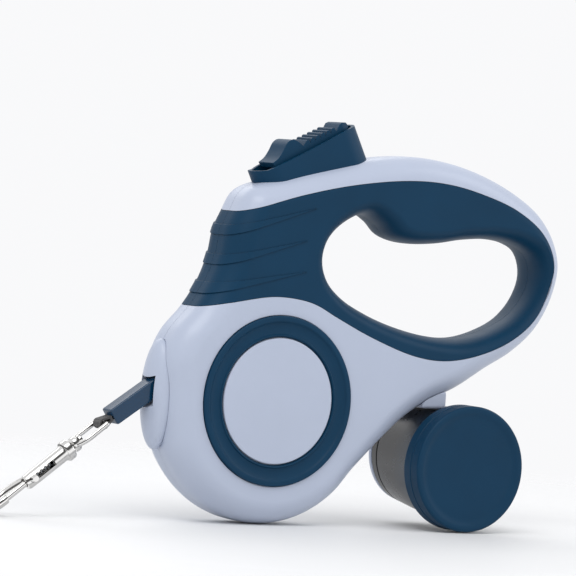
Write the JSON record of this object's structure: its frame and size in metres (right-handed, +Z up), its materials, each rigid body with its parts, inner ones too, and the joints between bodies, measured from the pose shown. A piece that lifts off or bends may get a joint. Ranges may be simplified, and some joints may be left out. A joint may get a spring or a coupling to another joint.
{
  "type": "retractable leash",
  "caption": "Slim retractable dog leash with a loop handle, round spool housing, thumb brake, tape with a swivel bolt snap, and a waste bag dispenser under the tail.",
  "frame": {"origin": "at the bottom centre of the bounding box, on the floor; the drum axis is 8 mm further towards -X", "axes": "-X towards the nose where the tape leaves, +Z up, the drum axis along Y with the left side at -Y"},
  "size_m": [0.2184, 0.0418, 0.1403],
  "materials": {
    "light_plastic": "satin",
    "navy_plastic": "soft matte",
    "black_plastic": "satin",
    "cup_plastic": "gloss",
    "nylon": "satin",
    "spring_steel": "brushed",
    "chrome": "polished",
    "tape_weave": "woven",
    "bag_film": "thin film",
    "card": "card"
  },
  "bodies": {
    "handle": {"left_casing": "light_plastic", "right_casing": "light_plastic", "left_grip": "navy_plastic", "right_grip": "navy_plastic", "left_trim_ring": "navy_plastic", "right_trim_ring": "navy_plastic", "left_centre_disc": "light_plastic", "right_centre_disc": "light_plastic", "spool_axle": "spring_steel", "spool_bush_left": "nylon", "spool_bush_right": "nylon", "tape_run": "tape_weave", "guide_roller_pin": "spring_steel", "nose_plate": "light_plastic", "tape_guide": "black_plastic", "brake_tray": "navy_plastic", "brake_lever_pin": "spring_steel", "dispenser_cup": "cup_plastic", "dispenser_end_plug": "black_plastic", "dispenser_hanger": "light_plastic", "case_screw_1": "spring_steel", "case_screw_2": "spring_steel", "case_screw_3": "spring_steel", "case_screw_4": "spring_steel", "case_screw_5": "spring_steel", "case_screw_6": "spring_steel", "case_screw_7": "spring_steel", "case_screw_8": "spring_steel"},
    "spool_unit": {"spool": "nylon", "wound_tape": "tape_weave", "spring_cover": "nylon", "power_spring": "spring_steel"},
    "roller": {"guide_roller": "nylon"},
    "button": {"brake_button": "navy_plastic"},
    "lever": {"brake_lever": "nylon", "brake_lever_spring": "spring_steel"},
    "tape_end": {"leash_sleeve": "navy_plastic", "tape_end_loop": "tape_weave"},
    "eye": {"swivel_eye": "chrome"},
    "snap": {"snap_body": "chrome", "swivel_shank": "chrome", "bolt_spring": "spring_steel"},
    "bolt": {"snap_bolt": "chrome"},
    "cap": {"dispenser_cap": "navy_plastic"},
    "bags": {"bag_roll": "bag_film", "bag_core": "card"}
  },
  "joints": [
    {"name": "leash_pull", "type": "slide", "parent": "handle", "child": "tape_end", "axis": [-0.8202, 0, -0.5721], "range_m": [0, 0.02], "stiffness_N_per_m": 60, "springref_m": -0.05},
    {"name": "spool_spin", "type": "hinge", "parent": "handle", "child": "spool_unit", "pos_m": [-0.00803, 0.0006, 0.043], "axis": [0, 1, 0], "range_deg": [-39, 0]},
    {"name": "roller_spin", "type": "hinge", "parent": "handle", "child": "roller", "pos_m": [-0.04413, 0.0006, 0.0538], "axis": [0, 1, 0], "continuous": true},
    {"name": "brake_press", "type": "slide", "parent": "handle", "child": "button", "axis": [0.237, 0, -0.9715], "range_m": [0, 0.0034], "stiffness_N_per_m": 400, "springref_m": -0.002},
    {"name": "lever_turn", "type": "hinge", "parent": "handle", "child": "lever", "pos_m": [-0.01503, 0.0006, 0.101], "axis": [0, 1, 0], "range_deg": [0, 12]},
    {"name": "eye_swing", "type": "hinge", "parent": "tape_end", "child": "eye", "pos_m": [-0.06989, 0.0006, 0.0323], "axis": [0, 1, 0], "range_deg": [-35, 60]},
    {"name": "snap_swivel", "type": "hinge", "parent": "eye", "child": "snap", "pos_m": [-0.06989, 0.0006, 0.0323], "axis": [-0.7901, 0, -0.613], "continuous": true},
    {"name": "bolt_pull", "type": "slide", "parent": "snap", "child": "bolt", "axis": [0.7901, 0, 0.613], "range_m": [0, 0.0085], "stiffness_N_per_m": 150, "springref_m": -0.004, "deforming": ["bolt_spring"]},
    {"name": "cap_pull", "type": "slide", "parent": "handle", "child": "cap", "axis": [0, -1, 0], "range_m": [0, 0.03]},
    {"name": "bags_spin", "type": "hinge", "parent": "handle", "child": "bags", "pos_m": [0.06849, 0.0006, 0.02343], "axis": [0, 1, 0], "continuous": true}
  ],
  "couplings": [
    {"joint": "spool_spin", "follows": "leash_pull", "rad_per_m": -33.73},
    {"joint": "lever_turn", "follows": "brake_press", "rad_per_m": 59}
  ]
}
